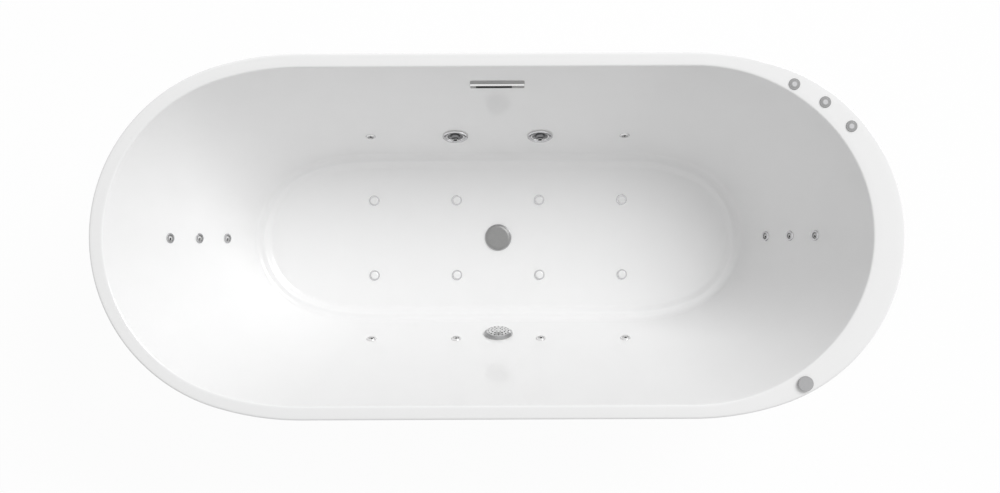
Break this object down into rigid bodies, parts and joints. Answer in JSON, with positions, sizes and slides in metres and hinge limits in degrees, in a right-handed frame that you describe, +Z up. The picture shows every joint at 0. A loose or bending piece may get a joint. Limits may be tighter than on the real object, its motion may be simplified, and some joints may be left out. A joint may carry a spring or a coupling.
{
  "type": "jetted bathtub",
  "caption": "Oval free-standing bathtub with water and air jets, pop-up waste, overflow, deck controls, frame, pump and blower.",
  "frame": {"origin": "on the floor under the middle of the rim's outline", "axes": "+X along the bath towards the wide deck, +Y towards the overflow side, +Z up"},
  "size_m": [1.78, 0.8, 0.589],
  "materials": {
    "shell": "high gloss white acrylic",
    "skirt": "gloss white acrylic",
    "board": "sealed board",
    "frame_steel": "galvanised",
    "fastener": "zinc plated",
    "foot": "moulded black",
    "chrome": "satin chrome",
    "cap": "gloss white",
    "seal": "soft black rubber",
    "fitting": "moulded white",
    "nut": "moulded black",
    "pipe": "white pipe",
    "air_line": "grey-blue air line",
    "hose": "grey flexible hose",
    "tube": "milky tube",
    "pump_casing": "black moulding",
    "motor": "satin dark grey",
    "blower": "black moulding",
    "control": "light grey moulding"
  },
  "bodies": {
    "tub": {"air_control_body": "fitting", "air_jet_bodies": "fitting", "air_jet_caps": "cap", "air_jet_rings": "chrome", "air_manifold": "air_line", "air_pipe": "air_line", "base_board": "board", "bath_shell": "shell", "blower_hose": "hose", "blower_housing": "blower", "button_bezels": "chrome", "cable_gland": "control", "control_box": "control", "control_lid": "control", "deck_nuts": "nut", "drain_body": "fitting", "drain_flange": "chrome", "drain_seal": "seal", "foot_nuts": "fastener", "foot_pads": "foot", "foot_studs": "fastener", "frame_bolts": "fastener", "frame_cross_bars": "frame_steel", "frame_rails": "frame_steel", "jet_bodies": "fitting", "jet_flanges": "chrome", "machine_trays": "frame_steel", "micro_jet_bodies": "fitting", "micro_jet_rings": "chrome", "outer_skirt": "skirt", "overflow_body": "fitting", "overflow_hose": "hose", "overflow_trim": "chrome", "pneumatic_tubes": "tube", "pump_motor": "motor", "pump_volute": "pump_casing", "side_jet_nozzles": "chrome", "suction_body": "fitting", "suction_cover": "chrome", "suction_pipe": "pipe", "trap": "fitting", "wall_nuts": "nut", "water_main": "pipe"},
    "drain_plug": {"drain_cap": "chrome"},
    "impeller": {"pump_impeller": "pump_casing"},
    "fan": {"blower_fan": "blower"},
    "button_front_body": {"button_front": "chrome"},
    "button_middle_body": {"button_middle": "chrome"},
    "button_rear_body": {"button_rear": "chrome"},
    "air_knob_body": {"air_knob": "chrome"},
    "jet_left_face_body": {"jet_face_left": "chrome"},
    "jet_left_nozzle_body": {"jet_nozzle_left": "chrome"},
    "back_jet_left_upper_body": {"back_jet_left_upper": "chrome"},
    "back_jet_left_middle_body": {"back_jet_left_middle": "chrome"},
    "back_jet_left_lower_body": {"back_jet_left_lower": "chrome"},
    "jet_right_face_body": {"jet_face_right": "chrome"},
    "jet_right_nozzle_body": {"jet_nozzle_right": "chrome"},
    "back_jet_right_upper_body": {"back_jet_right_upper": "chrome"},
    "back_jet_right_middle_body": {"back_jet_right_middle": "chrome"},
    "back_jet_right_lower_body": {"back_jet_right_lower": "chrome"}
  },
  "joints": [
    {"name": "drain_plug_slide", "type": "slide", "parent": "tub", "child": "drain_plug", "axis": [0, 0, 1], "range_m": [0, 0.01]},
    {"name": "pump_spin", "type": "hinge", "parent": "tub", "child": "impeller", "pos_m": [0.645, -0.1, 0.095], "axis": [0, 1, 0], "continuous": true},
    {"name": "blower_spin", "type": "hinge", "parent": "tub", "child": "fan", "pos_m": [-0.62, 0, 0.06], "axis": [0, 0, 1], "continuous": true},
    {"name": "button_front_press", "type": "slide", "parent": "tub", "child": "button_front_body", "axis": [0, 0, -1], "range_m": [0, 0.003], "stiffness_N_per_m": 1500, "springref_m": -0.001},
    {"name": "button_middle_press", "type": "slide", "parent": "tub", "child": "button_middle_body", "axis": [0, 0, -1], "range_m": [0, 0.003], "stiffness_N_per_m": 1500, "springref_m": -0.001},
    {"name": "button_rear_press", "type": "slide", "parent": "tub", "child": "button_rear_body", "axis": [0, 0, -1], "range_m": [0, 0.003], "stiffness_N_per_m": 1500, "springref_m": -0.001},
    {"name": "air_knob_turn", "type": "hinge", "parent": "tub", "child": "air_knob_body", "pos_m": [0.67004, -0.32376, 0.58], "axis": [0, 0, 1], "range_deg": [0, 270]},
    {"name": "jet_left_turn", "type": "hinge", "parent": "tub", "child": "jet_left_face_body", "pos_m": [-0.1, 0.24429, 0.26], "axis": [0, -0.9308, 0.3657], "range_deg": [0, 90]},
    {"name": "jet_left_tilt", "type": "hinge", "parent": "jet_left_face_body", "child": "jet_left_nozzle_body", "pos_m": [-0.1, 0.24522, 0.25963], "axis": [1, 0, 0], "range_deg": [-15, 15]},
    {"name": "jet_right_turn", "type": "hinge", "parent": "tub", "child": "jet_right_face_body", "pos_m": [0.104, 0.24429, 0.26], "axis": [0, -0.9308, 0.3657], "range_deg": [0, 90]},
    {"name": "jet_right_tilt", "type": "hinge", "parent": "jet_right_face_body", "child": "jet_right_nozzle_body", "pos_m": [0.104, 0.24522, 0.25963], "axis": [1, 0, 0], "range_deg": [-15, 15]},
    {"name": "back_jet_left_upper_spin", "type": "hinge", "parent": "tub", "child": "back_jet_left_upper_body", "pos_m": [-0.75274, 0, 0.41], "axis": [0.8457, 0, 0.5336], "continuous": true},
    {"name": "back_jet_left_middle_spin", "type": "hinge", "parent": "tub", "child": "back_jet_left_middle_body", "pos_m": [-0.70258, 0, 0.3305], "axis": [0.8457, 0, 0.5336], "continuous": true},
    {"name": "back_jet_left_lower_spin", "type": "hinge", "parent": "tub", "child": "back_jet_left_lower_body", "pos_m": [-0.65242, 0, 0.251], "axis": [0.8457, 0, 0.5336], "continuous": true},
    {"name": "back_jet_right_upper_spin", "type": "hinge", "parent": "tub", "child": "back_jet_right_upper_body", "pos_m": [0.73255, 0, 0.41], "axis": [-0.885, 0, 0.4657], "continuous": true},
    {"name": "back_jet_right_middle_spin", "type": "hinge", "parent": "tub", "child": "back_jet_right_middle_body", "pos_m": [0.69071, 0, 0.3305], "axis": [-0.885, 0, 0.4657], "continuous": true},
    {"name": "back_jet_right_lower_spin", "type": "hinge", "parent": "tub", "child": "back_jet_right_lower_body", "pos_m": [0.64888, 0, 0.251], "axis": [-0.885, 0, 0.4657], "continuous": true}
  ]
}
